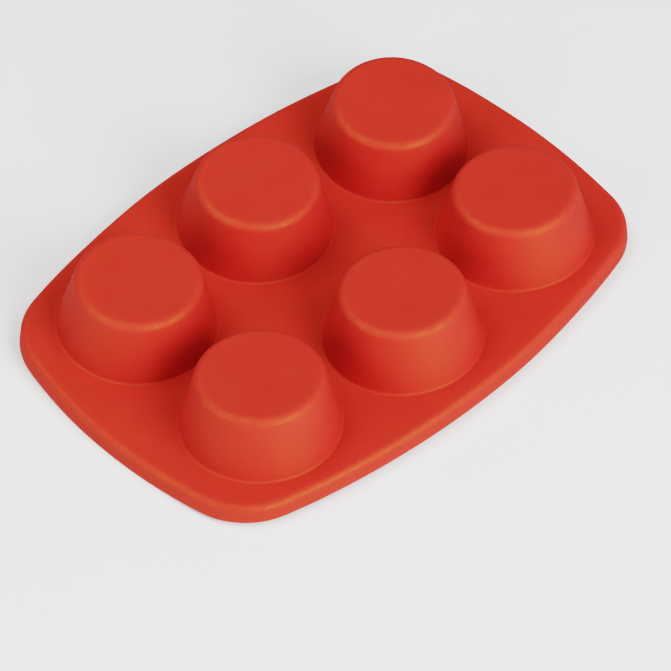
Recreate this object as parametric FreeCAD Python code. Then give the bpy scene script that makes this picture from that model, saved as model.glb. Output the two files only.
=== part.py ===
import FreeCAD, Part
import math
import os

# Six-cup muffin mould: one flexible silicone moulding, standing on its rim with its cups up, as it drains or
# is stored. In use it is turned over and stands on its cup floors.
#
# Millimetres. The origin is the middle of the rim's flat underside. +X runs along a row of three cups, +Y
# goes to the back row and +Z goes up through the cup floors.
#
# The moulding is divided along its natural lines into regions that meet face to face: the deck, the rim round
# it, and six cups. Each region is a closed solid in its own file.

# Outline seen from above: four long shallow arcs, joined by four tangent corner arcs.
RIM_HALF_LENGTH = 140.5       # along X, at the rim's lower edge
RIM_HALF_WIDTH = 98.0         # along Y, at the rim's lower edge
LONG_SIDE_RADIUS = 427.0
SHORT_SIDE_RADIUS = 276.0
CORNER_RADIUS = 34.5

# Rim: a short skirt that turns down from the deck and flares outwards a little.
RIM_HEIGHT = 9.0              # from the surface it stands on to the deck's upper face
RIM_FLARE = 0.7               # how far the lower edge stands out past the upper edge
RIM_THICKNESS = 2.5
RIM_WEB = 6.0                 # width of the rim's own flat top, in from the upper edge
RIM_TOP_ROUND = 3.0
RIM_EDGE_ROUND = 0.8
RIM_INNER_FILLET = 1.2

DECK_THICKNESS = 2.0

# Cups: truncated cones. Sizes are of the outside, radii of the sharp corners before rounding.
CUP_HEIGHT = 30.7             # above the deck's upper face
CUP_BASE_RADIUS = 37.2        # where the wall meets the deck
CUP_FLOOR_RADIUS = 29.6       # where the wall meets the floor
CUP_WALL = 2.0
CUP_FLOOR_ROUND = 4.0
CUP_BASE_FILLET = 1.2
CUP_MOUTH_ROUND = 3.0
CUP_SEAM_RADIUS = 38.5        # where a cup's foot meets the deck

# Cup places: two rows of three. The middle cups stand further out than the end cups.
END_CUP_X = 83.0
END_CUP_Y = 40.9
MIDDLE_CUP_Y = 48.8

DECK_UNDERSIDE = RIM_HEIGHT - DECK_THICKNESS
CUP_TOP = RIM_HEIGHT + CUP_HEIGHT
UP = FreeCAD.Vector(0, 0, 1)

CUP_CENTRES = {
    "cup_front_left": (-END_CUP_X, -END_CUP_Y),
    "cup_front_middle": (0.0, -MIDDLE_CUP_Y),
    "cup_front_right": (END_CUP_X, -END_CUP_Y),
    "cup_back_left": (-END_CUP_X, END_CUP_Y),
    "cup_back_middle": (0.0, MIDDLE_CUP_Y),
    "cup_back_right": (END_CUP_X, END_CUP_Y),
}


def rounded_wire(corners):
    """Closed wire in the XZ plane through (x, z, radius) corners, each rounded by a tangent arc."""
    points = [FreeCAD.Vector(x, 0, z) for x, z, _ in corners]
    starts, ends, middles = [], [], []
    for i, point in enumerate(points):
        radius = corners[i][2]
        back = (points[i - 1] - point).normalize()
        ahead = (points[(i + 1) % len(points)] - point).normalize()
        half_angle = back.getAngle(ahead) / 2
        trim = radius / math.tan(half_angle)
        bisector = (back + ahead).normalize()
        starts.append(point + back * trim)
        ends.append(point + ahead * trim)
        middles.append(point + bisector * (radius / math.sin(half_angle) - radius))
    edges = []
    for i in range(len(points)):
        if corners[i][2] > 0:
            edges.append(Part.Arc(starts[i], middles[i], ends[i]).toShape())
        edges.append(Part.LineSegment(ends[i], starts[(i + 1) % len(points)]).toShape())
    return Part.Wire(edges)


def outline_arcs(inset):
    """The outline's eight arcs, anticlockwise, as (centre, radius, first angle, last angle) in radians."""
    upper_half_length = RIM_HALF_LENGTH - RIM_FLARE
    upper_half_width = RIM_HALF_WIDTH - RIM_FLARE
    long_centre = FreeCAD.Vector(0, upper_half_width - LONG_SIDE_RADIUS, 0)
    short_centre = FreeCAD.Vector(upper_half_length - SHORT_SIDE_RADIUS, 0, 0)

    # A corner arc touches both its neighbours, so its centre's distances from theirs are known.
    to_long = LONG_SIDE_RADIUS - CORNER_RADIUS
    to_short = SHORT_SIDE_RADIUS - CORNER_RADIUS
    span = short_centre - long_centre
    along = (to_long ** 2 - to_short ** 2 + span.Length ** 2) / (2 * span.Length)
    aside = math.sqrt(to_long ** 2 - along ** 2)
    unit = FreeCAD.Vector(span).normalize()
    corner = long_centre + unit * along + FreeCAD.Vector(unit.y, -unit.x, 0) * aside
    next_corner = FreeCAD.Vector(-corner.x, corner.y, 0)
    long_angle = math.atan2(corner.y - long_centre.y, corner.x - long_centre.x)
    short_angle = math.atan2(corner.y - short_centre.y, corner.x - short_centre.x)

    # One half of the outline, from the short side at +X, and the same again turned half round.
    half_outline = [
        (short_centre, SHORT_SIDE_RADIUS, -short_angle, short_angle),
        (corner, CORNER_RADIUS, short_angle, long_angle),
        (long_centre, LONG_SIDE_RADIUS, long_angle, math.pi - long_angle),
        (next_corner, CORNER_RADIUS, math.pi - long_angle, math.pi - short_angle),
    ]
    arcs = []
    for turn, sign in ((0, 1), (math.pi, -1)):
        for centre, radius, first, last in half_outline:
            arcs.append((centre * sign, radius - inset, first + turn, last + turn))
    return arcs


def make_deck():
    edges = []
    for centre, radius, first, last in outline_arcs(RIM_WEB):
        edges.append(Part.ArcOfCircle(Part.Circle(centre, UP, radius), first, last).toShape())
    plate = Part.Face(Part.Wire(edges)).extrude(UP * DECK_THICKNESS)
    plate.translate(UP * DECK_UNDERSIDE)
    for x, y in CUP_CENTRES.values():
        plate = plate.cut(Part.makeCylinder(CUP_SEAM_RADIUS, RIM_HEIGHT, FreeCAD.Vector(x, y, 0)))
    return plate


def make_rim():
    """The rim's section turned about the centre of each arc of the outline in turn."""
    section = [
        (-RIM_WEB, RIM_HEIGHT, 0),
        (0, RIM_HEIGHT, RIM_TOP_ROUND),
        (RIM_FLARE, 0, RIM_EDGE_ROUND),
        (RIM_FLARE - RIM_THICKNESS, 0, RIM_EDGE_ROUND),
        (-RIM_THICKNESS, DECK_UNDERSIDE, RIM_INNER_FILLET),
        (-RIM_WEB, DECK_UNDERSIDE, 0),
    ]
    pieces = []
    for centre, radius, first, last in outline_arcs(0):
        face = Part.Face(rounded_wire([(radius + out, z, rounding) for out, z, rounding in section]))
        face.rotate(FreeCAD.Vector(), UP, math.degrees(first))
        face.translate(centre)
        pieces.append(face.revolve(centre, UP, math.degrees(last - first)))
    return pieces[0].multiFuse(pieces[1:]).removeSplitter()


def make_cup(x, y):
    """A cup turned about its own axis, with a small fillet at its foot and a rounded mouth inside."""
    lean = math.atan2(CUP_BASE_RADIUS - CUP_FLOOR_RADIUS, CUP_HEIGHT)
    wall_across = CUP_WALL / math.cos(lean)
    mouth_radius = CUP_BASE_RADIUS + DECK_THICKNESS * math.tan(lean) - wall_across
    inner_floor_radius = CUP_FLOOR_RADIUS + CUP_WALL * math.tan(lean) - wall_across
    section = rounded_wire([
        (0, CUP_TOP, 0),
        (CUP_FLOOR_RADIUS, CUP_TOP, CUP_FLOOR_ROUND),
        (CUP_BASE_RADIUS, RIM_HEIGHT, CUP_BASE_FILLET),
        (CUP_SEAM_RADIUS, RIM_HEIGHT, 0),
        (CUP_SEAM_RADIUS, DECK_UNDERSIDE, 0),
        (mouth_radius, DECK_UNDERSIDE, CUP_MOUTH_ROUND),
        (inner_floor_radius, CUP_TOP - CUP_WALL, CUP_FLOOR_ROUND - CUP_WALL),
        (0, CUP_TOP - CUP_WALL, 0),
    ])
    cup = Part.Face(section).revolve(FreeCAD.Vector(), UP, 360)
    cup.translate(FreeCAD.Vector(x, y, 0))
    return cup


def main():
    nodes = {"deck": make_deck(), "rim": make_rim()}
    for name, (x, y) in CUP_CENTRES.items():
        nodes[name] = make_cup(x, y)
    os.makedirs("parts", exist_ok=True)
    for name, shape in nodes.items():
        solid = shape.Solids[0]
        if len(shape.Solids) != 1 or not solid.isValid():
            raise ValueError(name + " is not one valid solid")
        solid.exportStep(os.path.join("parts", name + ".step"))
        box = solid.optimalBoundingBox()
        volume = solid.Volume / 1000
        print(f"{name}: {volume:.2f} cm3, {box.XLength:.1f} x {box.YLength:.1f} x {box.ZLength:.1f} mm")


main()
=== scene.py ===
import math

import bpy
import numpy as np
from mathutils import Matrix, Vector
from mathutils.geometry import delaunay_2d_cdt


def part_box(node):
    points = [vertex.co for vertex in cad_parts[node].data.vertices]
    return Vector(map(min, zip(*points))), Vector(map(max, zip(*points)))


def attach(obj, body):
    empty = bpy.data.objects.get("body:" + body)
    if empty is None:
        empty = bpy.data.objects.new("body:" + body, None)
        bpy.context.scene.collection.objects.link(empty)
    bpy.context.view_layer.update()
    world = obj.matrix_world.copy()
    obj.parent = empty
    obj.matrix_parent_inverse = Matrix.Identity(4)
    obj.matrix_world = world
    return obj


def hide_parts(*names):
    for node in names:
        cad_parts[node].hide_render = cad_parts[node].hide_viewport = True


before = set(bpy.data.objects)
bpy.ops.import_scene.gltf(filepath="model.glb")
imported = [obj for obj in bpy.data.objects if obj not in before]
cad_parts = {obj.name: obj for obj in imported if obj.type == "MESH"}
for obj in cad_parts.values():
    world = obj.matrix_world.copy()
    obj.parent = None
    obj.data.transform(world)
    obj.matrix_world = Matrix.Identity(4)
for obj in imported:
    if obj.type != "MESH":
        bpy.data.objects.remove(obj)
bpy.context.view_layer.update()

# The looks of a six-cup silicone muffin mould, in metres. Its CAD solids have the shape it is moulded in.
# The pieces made here have the same sections and outline, bent as the soft mould sags on its rim.

MM = 0.001

# ---- Sizes the frame gives, in metres ----

DECK_LOW, DECK_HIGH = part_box("deck")
CUP_NAMES = sorted(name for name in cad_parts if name.startswith("cup_"))
CUP_LOW, CUP_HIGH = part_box(CUP_NAMES[0])
DECK_TOP = DECK_HIGH.z
DECK_UNDERSIDE = DECK_LOW.z
CUP_TOP = CUP_HIGH.z
CUP_SEAM_RADIUS = (CUP_HIGH.x - CUP_LOW.x) / 2

# ---- Sizes of the moulding that no box shows ----

RIM_WEB = 6.0 * MM                        # width of the rim's own flat top
RIM_FLARE = 0.7 * MM                      # how far the rim's lower edge stands out past its upper edge
LONG_SIDE_RADIUS = 427.0 * MM
SHORT_SIDE_RADIUS = 276.0 * MM
CORNER_RADIUS = 34.5 * MM
RIM_THICKNESS = 2.5 * MM
RIM_TOP_ROUND = 3.0 * MM
RIM_EDGE_ROUND = 0.8 * MM
RIM_INNER_FILLET = 1.2 * MM
CUP_BASE_RADIUS = 37.2 * MM
CUP_FLOOR_RADIUS = 29.6 * MM
CUP_WALL = 2.0 * MM
CUP_FLOOR_ROUND = 4.0 * MM
CUP_BASE_FILLET = 1.2 * MM
CUP_MOUTH_ROUND = 3.0 * MM

# Half the length and width of the rim's upper edge.
UPPER_HALF_LENGTH = DECK_HIGH.x + RIM_WEB
UPPER_HALF_WIDTH = DECK_HIGH.y + RIM_WEB

# ---- How the soft moulding sags as it stands on its rim ----

SAG_DEPTH = 5.52 * MM                     # how far the middle of the deck hangs below its edge
SAG_ALONG = 0.566                         # how much it bends along its length, against 1 across its width
SAG_EASE_START = 0.6                      # where it starts to ease off: 0 is the middle, 1 a long side
SAG_EASE = 0.5                            # how much it eases off from there

# ---- How uneven a soft moulding is: shallow waves of its surface ----

WAVE_SEED = 7
WAVE_COUNT = 14
WAVE_HEIGHT = 0.09 * MM                   # of the longest waves; shorter ones are lower in proportion
WAVE_LENGTHS = (26 * MM, 90 * MM)

EDGE_REACH = 4.5 * MM                     # how far from an outer corner its wear and painted highlight go

# ---- Mesh fineness ----

CUP_SIDES = 192
ARC_STEPS = 8
SECTION_STEP = 2.0 * MM
OUTLINE_STEP = 1.5 * MM
DECK_GRID = 2.5 * MM
GRID_CLEARANCE = 0.6 * DECK_GRID          # between the grid's points and the deck's edges
SEAM_TOLERANCE = 0.9999                   # triangles inside this share of a cup's seam radius are left out
MERGE_DISTANCE = 1e-7                     # points nearer than this are one
CREASE_ANGLE = math.radians(50)           # edges sharper than this show as creases

# ---- Colours (linear red, green, blue and alpha) ----

SILICONE_DARK = (0.405, 0.022, 0.020, 1)
SILICONE_LIGHT = (0.432, 0.025, 0.023, 1)
# Paler colour of the outer edges: partly rubbed wear, partly a painted highlight where the rounded edges
# catch the light.
SILICONE_EDGE_WEAR_AND_HIGHLIGHT = (0.47, 0.033, 0.026, 1)
SILICONE_GLOSS_TINT = (0.5, 1.0, 0.15, 1)
FLOOR_DARK = (0.92, 0.92, 0.92, 1)
FLOOR_LIGHT = (0.94, 0.94, 0.94, 1)
WHITE = (1, 1, 1, 1)

# ---- Gloss ----

SILICONE_SPECULAR = 0.3
SILICONE_ROUGHNESS = (0.54, 0.62)
RUBBED_GLOSS = 0.12                       # how much less rough the most rubbed edges are
FLOOR_SPECULAR = 0.2
FLOOR_ROUGHNESS = 0.7

# ---- Noises of the materials: cells to a metre ----

RUB_SCALE = 260
CLOUD_SCALE = 45
GLOSS_SCALE = 90
GRAIN_SCALE = 1600
FLOOR_CLOUD_SCALE = 9
NOISE_MIDDLE = (0.3, 0.7)                 # the middle reach of a noise, where nearly all its values are
RUBBED_SHARE = (0.1, 1.0)                 # of the edges' wear and painted highlight, from place to place
GRAIN_STRENGTH = 0.5
GRAIN_HEIGHT = 0.14 * MM


def rounded_section(corners, closed):
    """Points along (out, z, radius) corners: each corner rounded by an arc, and long runs divided."""
    places = [np.array(corner[:2], float) for corner in corners]
    count = len(places)
    stretches = []
    for i, place in enumerate(places):
        radius = corners[i][2]
        if radius == 0:
            stretches.append([place])
            continue
        back = places[i - 1] - place
        ahead = places[(i + 1) % count] - place
        back /= np.linalg.norm(back)
        ahead /= np.linalg.norm(ahead)
        half_angle = math.acos(float(back @ ahead)) / 2
        bisector = (back + ahead) / np.linalg.norm(back + ahead)
        centre = place + bisector * radius / math.sin(half_angle)
        first = place + back * radius / math.tan(half_angle) - centre
        last = place + ahead * radius / math.tan(half_angle) - centre
        sweep = math.pi - 2 * half_angle
        arc = []
        for t in np.linspace(0, 1, ARC_STEPS + 1):
            blend = math.sin((1 - t) * sweep) * first + math.sin(t * sweep) * last
            arc.append(centre + blend / math.sin(sweep))
        stretches.append(arc)
    points = []
    for i, stretch in enumerate(stretches):
        points += stretch
        if i == count - 1 and not closed:
            break
        run = stretches[(i + 1) % count][0] - stretch[-1]
        pieces = max(1, round(float(np.linalg.norm(run)) / SECTION_STEP))
        points += [stretch[-1] + run * k / pieces for k in range(1, pieces)]
    return np.array(points)


def outline_frames():
    """Points round the upper edge of the rim with their outward directions, anticlockwise."""
    long_centre = np.array([0.0, UPPER_HALF_WIDTH - LONG_SIDE_RADIUS])
    short_centre = np.array([UPPER_HALF_LENGTH - SHORT_SIDE_RADIUS, 0.0])
    to_long = LONG_SIDE_RADIUS - CORNER_RADIUS
    to_short = SHORT_SIDE_RADIUS - CORNER_RADIUS

    # A corner arc touches both its neighbours, so its centre's distances from theirs are known.
    span = short_centre - long_centre
    distance = float(np.linalg.norm(span))
    unit = span / distance
    along = (to_long ** 2 - to_short ** 2 + distance ** 2) / (2 * distance)
    aside = math.sqrt(to_long ** 2 - along ** 2)
    corner = long_centre + unit * along + np.array([unit[1], -unit[0]]) * aside
    long_angle = math.atan2(corner[1] - long_centre[1], corner[0] - long_centre[0])
    short_angle = math.atan2(corner[1] - short_centre[1], corner[0] - short_centre[0])

    quarter = []
    for centre, radius, first, last in (
        (short_centre, SHORT_SIDE_RADIUS, 0.0, short_angle),
        (corner, CORNER_RADIUS, short_angle, long_angle),
        (long_centre, LONG_SIDE_RADIUS, long_angle, math.pi / 2),
    ):
        steps = max(1, round(radius * (last - first) / OUTLINE_STEP))
        for k in range(steps):
            angle = first + (last - first) * k / steps
            direction = np.array([math.cos(angle), math.sin(angle)])
            quarter.append((centre + radius * direction, direction))
    quarter.append((np.array([0.0, UPPER_HALF_WIDTH]), np.array([0.0, 1.0])))
    quarter = [np.concatenate(pair) for pair in quarter]
    right_back = np.array(quarter[:-1])
    left_back = np.array(quarter[:0:-1]) * [-1, 1, -1, 1]
    left_front = np.array(quarter[:-1]) * -1
    right_front = np.array(quarter[:0:-1]) * [1, -1, 1, -1]
    ring = np.concatenate([right_back, left_back, left_front, right_front])
    return ring[:, :2], ring[:, 2:]


def bend(points):
    """The moulding's points after its sag: the deck dips and the cups lean in towards the middle."""
    x, y, z = points.T
    across = SAG_ALONG * (x / UPPER_HALF_LENGTH) ** 2 + (y / UPPER_HALF_WIDTH) ** 2
    late = np.maximum(across - SAG_EASE_START, 0)
    drop = SAG_DEPTH * (across - SAG_EASE * late ** 2 - 1)
    slope = SAG_DEPTH * (1 - 2 * SAG_EASE * late)
    slope_x = slope * 2 * SAG_ALONG * x / UPPER_HALF_LENGTH ** 2
    slope_y = slope * 2 * y / UPPER_HALF_WIDTH ** 2
    above = z - DECK_TOP
    return np.stack([x - above * slope_x, y - above * slope_y, z + drop], 1)


def unevenness(points):
    """Small moves of every point, by shallow waves that run through the whole moulding at all angles."""
    random = np.random.default_rng(WAVE_SEED)
    moves = np.zeros_like(points)
    for _ in range(WAVE_COUNT):
        along = random.normal(size=3)
        towards = random.normal(size=3)
        wave_length = random.uniform(*WAVE_LENGTHS)
        phase = random.uniform(0, 2 * math.pi)
        along *= 2 * math.pi / wave_length / np.linalg.norm(along)
        height = WAVE_HEIGHT * wave_length / WAVE_LENGTHS[1]
        moves += np.outer(np.sin(points @ along + phase), height * towards / np.linalg.norm(towards))
    return moves


def grid_faces(around, length, closed):
    """Quads between `around` copies of a section of `length` points, which wrap round to the first copy."""
    faces = []
    for i in range(around):
        after = (i + 1) % around
        for j in range(length if closed else length - 1):
            k = (j + 1) % length
            faces.append((i * length + j, after * length + j, after * length + k, i * length + k))
    return faces


def add_piece(name, points, faces, wear_and_highlight, material):
    """A smooth-shaded piece, with its edge wear and painted highlight in an attribute."""
    mesh = bpy.data.meshes.new(name)
    mesh.from_pydata([tuple(p) for p in points], [], faces)
    mesh.attributes.new("wear_and_highlight", "FLOAT", "POINT").data.foreach_set("value", wear_and_highlight.astype(np.float32))
    piece = bpy.data.objects.new(name, mesh)
    bpy.context.scene.collection.objects.link(piece)
    mesh.materials.append(material)
    mesh.shade_smooth()
    mesh.set_sharp_from_angle(angle=CREASE_ANGLE)
    return piece


def edge_wear_and_highlight(section, corners):
    """How worn and how brightened each point of a section is, most at its outer corners and none beyond
    their reach: the paler colour it gives there is partly wear, partly a painted highlight.
    """
    wear_and_highlight = np.zeros(len(section))
    for corner in corners:
        distance = np.linalg.norm(section - np.array(corner), axis=1)
        wear_and_highlight = np.maximum(wear_and_highlight, np.clip(1 - distance / EDGE_REACH, 0, 1))
    return wear_and_highlight


def make_cup(centre):
    """A cup's points, faces and edge mask of wear and painted highlight: its section turned round, and the
    middles of its two floors.
    """
    lean = math.atan2(CUP_BASE_RADIUS - CUP_FLOOR_RADIUS, CUP_TOP - DECK_TOP)
    wall_across = CUP_WALL / math.cos(lean)
    mouth_radius = CUP_BASE_RADIUS + (DECK_TOP - DECK_UNDERSIDE) * math.tan(lean) - wall_across
    inner_floor_radius = CUP_FLOOR_RADIUS + CUP_WALL * math.tan(lean) - wall_across
    section = rounded_section([
        (0, CUP_TOP, 0),
        (CUP_FLOOR_RADIUS, CUP_TOP, CUP_FLOOR_ROUND),
        (CUP_BASE_RADIUS, DECK_TOP, CUP_BASE_FILLET),
        (CUP_SEAM_RADIUS, DECK_TOP, 0),
        (CUP_SEAM_RADIUS, DECK_UNDERSIDE, 0),
        (mouth_radius, DECK_UNDERSIDE, CUP_MOUTH_ROUND),
        (inner_floor_radius, CUP_TOP - CUP_WALL, CUP_FLOOR_ROUND - CUP_WALL),
        (0, CUP_TOP - CUP_WALL, 0),
    ], closed=False)
    rings = section[1:-1]
    points = []
    for k in range(CUP_SIDES):
        angle = 2 * math.pi * k / CUP_SIDES
        for out, z in rings:
            points.append((centre.x + out * math.cos(angle), centre.y + out * math.sin(angle), z))
    length = len(rings)
    faces = grid_faces(CUP_SIDES, length, closed=False)
    outer_middle = len(points)
    points += [(centre.x, centre.y, section[0][1]), (centre.x, centre.y, section[-1][1])]
    for k in range(CUP_SIDES):
        after = (k + 1) % CUP_SIDES
        faces.append((outer_middle, after * length, k * length))
        faces.append((outer_middle + 1, k * length + length - 1, after * length + length - 1))
    wear_and_highlight = edge_wear_and_highlight(rings, [(CUP_FLOOR_RADIUS, CUP_TOP)])
    return np.array(points), [face[::-1] for face in faces], np.append(np.tile(wear_and_highlight, CUP_SIDES), [0, 0])


def make_rim(places, directions):
    """The rim's points, faces and edge mask of wear and painted highlight: its section carried round the
    outline.
    """
    section = rounded_section([
        (-RIM_WEB, DECK_TOP, 0),
        (0, DECK_TOP, RIM_TOP_ROUND),
        (RIM_FLARE, 0, RIM_EDGE_ROUND),
        (RIM_FLARE - RIM_THICKNESS, 0, RIM_EDGE_ROUND),
        (-RIM_THICKNESS, DECK_UNDERSIDE, RIM_INNER_FILLET),
        (-RIM_WEB, DECK_UNDERSIDE, 0),
    ], closed=True)
    points = [(*(place + direction * out), z) for place, direction in zip(places, directions)
              for out, z in section]
    faces = grid_faces(len(places), len(section), closed=True)
    wear_and_highlight = edge_wear_and_highlight(section, [(0, DECK_TOP), (RIM_FLARE, 0)])
    return np.array(points), [face[::-1] for face in faces], np.tile(wear_and_highlight, len(places))


def make_deck(places, directions, centres):
    """The deck's points, faces and edge mask of wear and painted highlight, which is nothing here: a fine
    net of triangles above and below, with walls between.
    """
    loops = [places - directions * RIM_WEB]
    turn = np.arange(CUP_SIDES) * 2 * math.pi / CUP_SIDES
    for centre in centres:
        loops.append(np.stack([centre.x + CUP_SEAM_RADIUS * np.cos(turn),
                               centre.y + CUP_SEAM_RADIUS * np.sin(turn)], 1))
    flat = [tuple(p) for loop in loops for p in loop]
    edges = []
    start = 0
    for loop in loops:
        edges += [(start + k, start + (k + 1) % len(loop)) for k in range(len(loop))]
        start += len(loop)

    edge_places = loops[0]
    row_step = DECK_GRID * math.sqrt(3) / 2
    rows = int(UPPER_HALF_WIDTH / row_step)
    columns = int(UPPER_HALF_LENGTH / DECK_GRID)
    for row in range(-rows, rows + 1):
        for column in range(-columns, columns + 1):
            spot = np.array([(column + 0.5 * (row % 2)) * DECK_GRID, row * row_step])
            nearest = np.argmin(np.sum((edge_places - spot) ** 2, 1))
            inward = (edge_places[nearest] - spot) @ directions[nearest]
            clear = all(math.hypot(spot[0] - c.x, spot[1] - c.y) > CUP_SEAM_RADIUS + GRID_CLEARANCE
                        for c in centres)
            if inward > GRID_CLEARANCE and clear:
                flat.append(tuple(spot))

    result = delaunay_2d_cdt([Vector(p) for p in flat], edges, [], 0, MERGE_DISTANCE)
    net, _, triangles, sources = result[:4]
    kept = []
    for triangle in triangles:
        middle = sum((net[i] for i in triangle), Vector((0, 0))) / 3
        if all((middle - c.xy).length > CUP_SEAM_RADIUS * SEAM_TOLERANCE for c in centres):
            kept.append(tuple(triangle))
    made_from = {source: k for k, found in enumerate(sources) for source in found}

    count = len(net)
    points = [(p.x, p.y, DECK_TOP) for p in net] + [(p.x, p.y, DECK_UNDERSIDE) for p in net]
    faces = kept + [tuple(i + count for i in reversed(face)) for face in kept]
    start = 0
    for loop_number, loop in enumerate(loops):
        for k in range(len(loop)):
            first = made_from[start + k]
            second = made_from[start + (k + 1) % len(loop)]
            wall = (first, first + count, second + count, second)
            faces.append(wall if loop_number == 0 else wall[::-1])
        start += len(loop)
    return np.array(points), faces, np.zeros(len(points))


# ---- Materials ----

def new_material(name):
    material = bpy.data.materials.new(name)
    material.use_nodes = True
    tree = material.node_tree
    return material, tree, tree.nodes["Principled BSDF"]


def noise(tree, scale, detail, roughness=0.5):
    """The value of a noise laid out in the piece's own space, with `scale` cells to a metre."""
    place = tree.nodes.new("ShaderNodeTexCoord")
    texture = tree.nodes.new("ShaderNodeTexNoise")
    texture.inputs["Scale"].default_value = scale
    texture.inputs["Detail"].default_value = detail
    texture.inputs["Roughness"].default_value = roughness
    tree.links.new(place.outputs["Object"], texture.inputs["Vector"])
    return texture.outputs["Fac"]


def spread(tree, value, low, high):
    """A value's middle reach, laid over low to high."""
    reach = tree.nodes.new("ShaderNodeMapRange")
    reach.inputs["From Min"].default_value = NOISE_MIDDLE[0]
    reach.inputs["From Max"].default_value = NOISE_MIDDLE[1]
    reach.inputs["To Min"].default_value = low
    reach.inputs["To Max"].default_value = high
    tree.links.new(value, reach.inputs["Value"])
    return reach.outputs["Result"]


def math_node(tree, operation, first, second):
    node = tree.nodes.new("ShaderNodeMath")
    node.operation = operation
    tree.links.new(first, node.inputs[0])
    tree.links.new(second, node.inputs[1])
    return node.outputs["Value"]


def mix_colours(tree, factor, first, second):
    """A mix of two colours, each given as numbers or as another node's output."""
    mix = tree.nodes.new("ShaderNodeMix")
    mix.data_type = "RGBA"
    tree.links.new(factor, mix.inputs["Factor"])
    for socket, colour in (("A", first), ("B", second)):
        if isinstance(colour, tuple):
            mix.inputs[socket].default_value = colour
        else:
            tree.links.new(colour, mix.inputs[socket])
    return mix.outputs["Result"]


def silicone_material():
    """Matt red silicone: cloudy colour, uneven gloss, paler outer edges that are partly rubbed wear and
    partly a painted highlight, and a fine moulded grain.
    """
    material, tree, shader = new_material("red_silicone")
    shader.inputs["Specular IOR Level"].default_value = SILICONE_SPECULAR
    shader.inputs["Specular Tint"].default_value = SILICONE_GLOSS_TINT

    edge = tree.nodes.new("ShaderNodeAttribute")
    edge.attribute_name = "wear_and_highlight"
    patches = spread(tree, noise(tree, RUB_SCALE, detail=3, roughness=0.6), *RUBBED_SHARE)
    # Mask of the paler outer edges: partly wear, partly a painted highlight.
    rubbed_and_highlit = math_node(tree, "MULTIPLY", edge.outputs["Fac"], patches)

    clouds = spread(tree, noise(tree, CLOUD_SCALE, detail=4, roughness=0.6), 0, 1)
    moulded = mix_colours(tree, clouds, SILICONE_DARK, SILICONE_LIGHT)
    # Outer edges made paler: partly wear, partly a painted highlight.
    colour = mix_colours(tree, rubbed_and_highlit, moulded, SILICONE_EDGE_WEAR_AND_HIGHLIGHT)
    tree.links.new(colour, shader.inputs["Base Color"])

    matt = spread(tree, noise(tree, GLOSS_SCALE, detail=5, roughness=0.6), *SILICONE_ROUGHNESS)
    polish = spread(tree, rubbed_and_highlit, 0, RUBBED_GLOSS)
    roughness = math_node(tree, "SUBTRACT", matt, polish)
    tree.links.new(roughness, shader.inputs["Roughness"])

    grain = tree.nodes.new("ShaderNodeBump")
    grain.inputs["Strength"].default_value = GRAIN_STRENGTH
    grain.inputs["Distance"].default_value = GRAIN_HEIGHT
    tree.links.new(noise(tree, GRAIN_SCALE, detail=3), grain.inputs["Height"])
    tree.links.new(grain.outputs["Normal"], shader.inputs["Normal"])
    return material


def floor_material():
    """Pale matt studio floor, very slightly cloudy."""
    material, tree, shader = new_material("pale_floor")
    shader.inputs["Roughness"].default_value = FLOOR_ROUGHNESS
    shader.inputs["Specular IOR Level"].default_value = FLOOR_SPECULAR
    clouds = spread(tree, noise(tree, FLOOR_CLOUD_SCALE, detail=3), 0, 1)
    colour = mix_colours(tree, clouds, FLOOR_DARK, FLOOR_LIGHT)
    tree.links.new(colour, shader.inputs["Base Color"])
    return material


# ---- The moulding ----

silicone = silicone_material()
centres = {name: (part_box(name)[0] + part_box(name)[1]) / 2 for name in CUP_NAMES}
outline_places, outline_directions = outline_frames()
shapes = {
    "deck": make_deck(outline_places, outline_directions, list(centres.values())),
    "rim": make_rim(outline_places, outline_directions),
}
for name, centre in centres.items():
    shapes[name] = make_cup(centre)

bent = {name: bend(points + unevenness(points)) for name, (points, _, _) in shapes.items()}
lift = -min(points[:, 2].min() for points in bent.values())
for name, (_, faces, wear_and_highlight) in shapes.items():
    piece = add_piece("silicone_" + name, bent[name] + [0, 0, lift], faces, wear_and_highlight, silicone)
    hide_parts(name)
    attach(piece, "root")

# ---- Floor, light and camera ----

FLOOR_HALF = 3.0
floor_mesh = bpy.data.meshes.new("floor")
floor_mesh.from_pydata([(-FLOOR_HALF, -FLOOR_HALF, 0), (FLOOR_HALF, -FLOOR_HALF, 0),
                        (FLOOR_HALF, FLOOR_HALF, 0), (-FLOOR_HALF, FLOOR_HALF, 0)], [], [(0, 1, 2, 3)])
floor = bpy.data.objects.new("floor", floor_mesh)
floor_mesh.materials.append(floor_material())
bpy.context.scene.collection.objects.link(floor)
floor.visible_glossy = False              # a bright floor would whiten the walls at grazing angles

CAMERA_AZIMUTH = math.radians(-45.92)
CAMERA_ELEVATION = math.radians(48.86)
CAMERA_ROLL = math.radians(1.61)
CAMERA_DISTANCE = 1.7508
CAMERA_LENS = 201.4                       # millimetres, on a sensor of SENSOR_WIDTH
SENSOR_WIDTH = 36
AIM_RIGHT = 3.6 * MM
AIM_DOWN = 23.1 * MM

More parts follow.
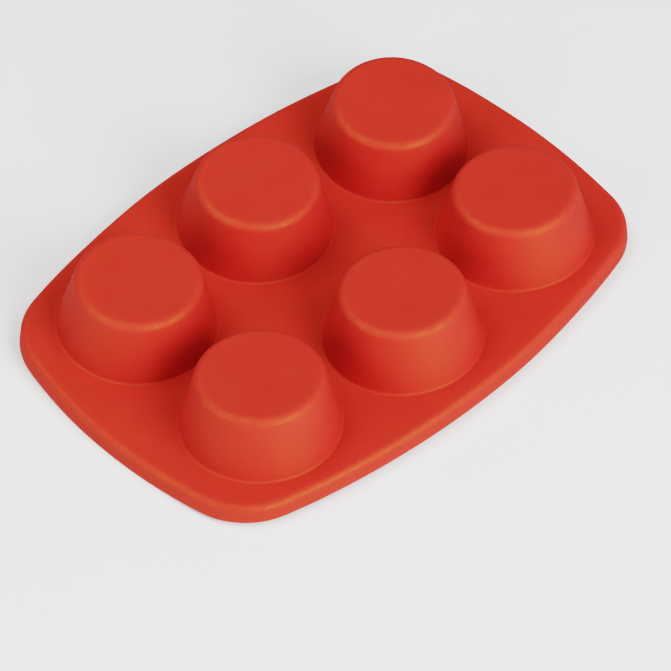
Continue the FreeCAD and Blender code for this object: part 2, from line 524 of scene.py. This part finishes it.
back = Vector((math.sin(CAMERA_AZIMUTH) * math.cos(CAMERA_ELEVATION),
               -math.cos(CAMERA_AZIMUTH) * math.cos(CAMERA_ELEVATION),
               math.sin(CAMERA_ELEVATION)))
level_right = Vector((0, 0, 1)).cross(back).normalized()
level_up = back.cross(level_right)
right = level_right * math.cos(CAMERA_ROLL) + level_up * math.sin(CAMERA_ROLL)
up = back.cross(right)
aim = right * AIM_RIGHT - up * AIM_DOWN + Vector((0, 0, lift))

camera_data = bpy.data.cameras.new("camera")
camera_data.sensor_width = SENSOR_WIDTH
camera_data.lens = CAMERA_LENS
camera = bpy.data.objects.new("camera", camera_data)
bpy.context.scene.collection.objects.link(camera)
turned = Matrix((right, up, back)).transposed().to_4x4()
camera.matrix_world = Matrix.Translation(aim + back * CAMERA_DISTANCE) @ turned
bpy.context.scene.camera = camera

LIGHT_DISTANCE = 1.6
WORLD_STRENGTH = 0.25

# Name, azimuth (counted from the camera's, to its right), elevation, size and power of each light.
LIGHTS = (
    ("key_light", 45, 32, 1.1, 28.5),
    ("low_light", 35, 15, 0.9, 6.5),
    ("right_light", 83, 58, 0.9, 6),
    ("front_light", -53, 27, 0.9, 11),
    ("left_light", -100, 65, 0.9, 11.5),
)


def area_light(name, azimuth, elevation, size, power):
    """A soft round light that looks at the mould."""
    turn = CAMERA_AZIMUTH + math.radians(azimuth)
    height = math.radians(elevation)
    towards = Vector((math.sin(turn) * math.cos(height),
                      -math.cos(turn) * math.cos(height),
                      math.sin(height)))
    data = bpy.data.lights.new(name, "AREA")
    data.shape = "DISK"
    data.size = size
    data.energy = power
    light = bpy.data.objects.new(name, data)
    light.location = towards * LIGHT_DISTANCE
    light.rotation_euler = towards.to_track_quat("Z", "Y").to_euler()
    bpy.context.scene.collection.objects.link(light)


for light in LIGHTS:
    area_light(*light)

world = bpy.data.worlds.new("studio")
world.use_nodes = True
sky = world.node_tree.nodes["Background"]
sky.inputs["Color"].default_value = WHITE
sky.inputs["Strength"].default_value = WORLD_STRENGTH
bpy.context.scene.world = world
bpy.context.scene.view_settings.view_transform = "Filmic"
bpy.context.scene.view_settings.look = "High Contrast"
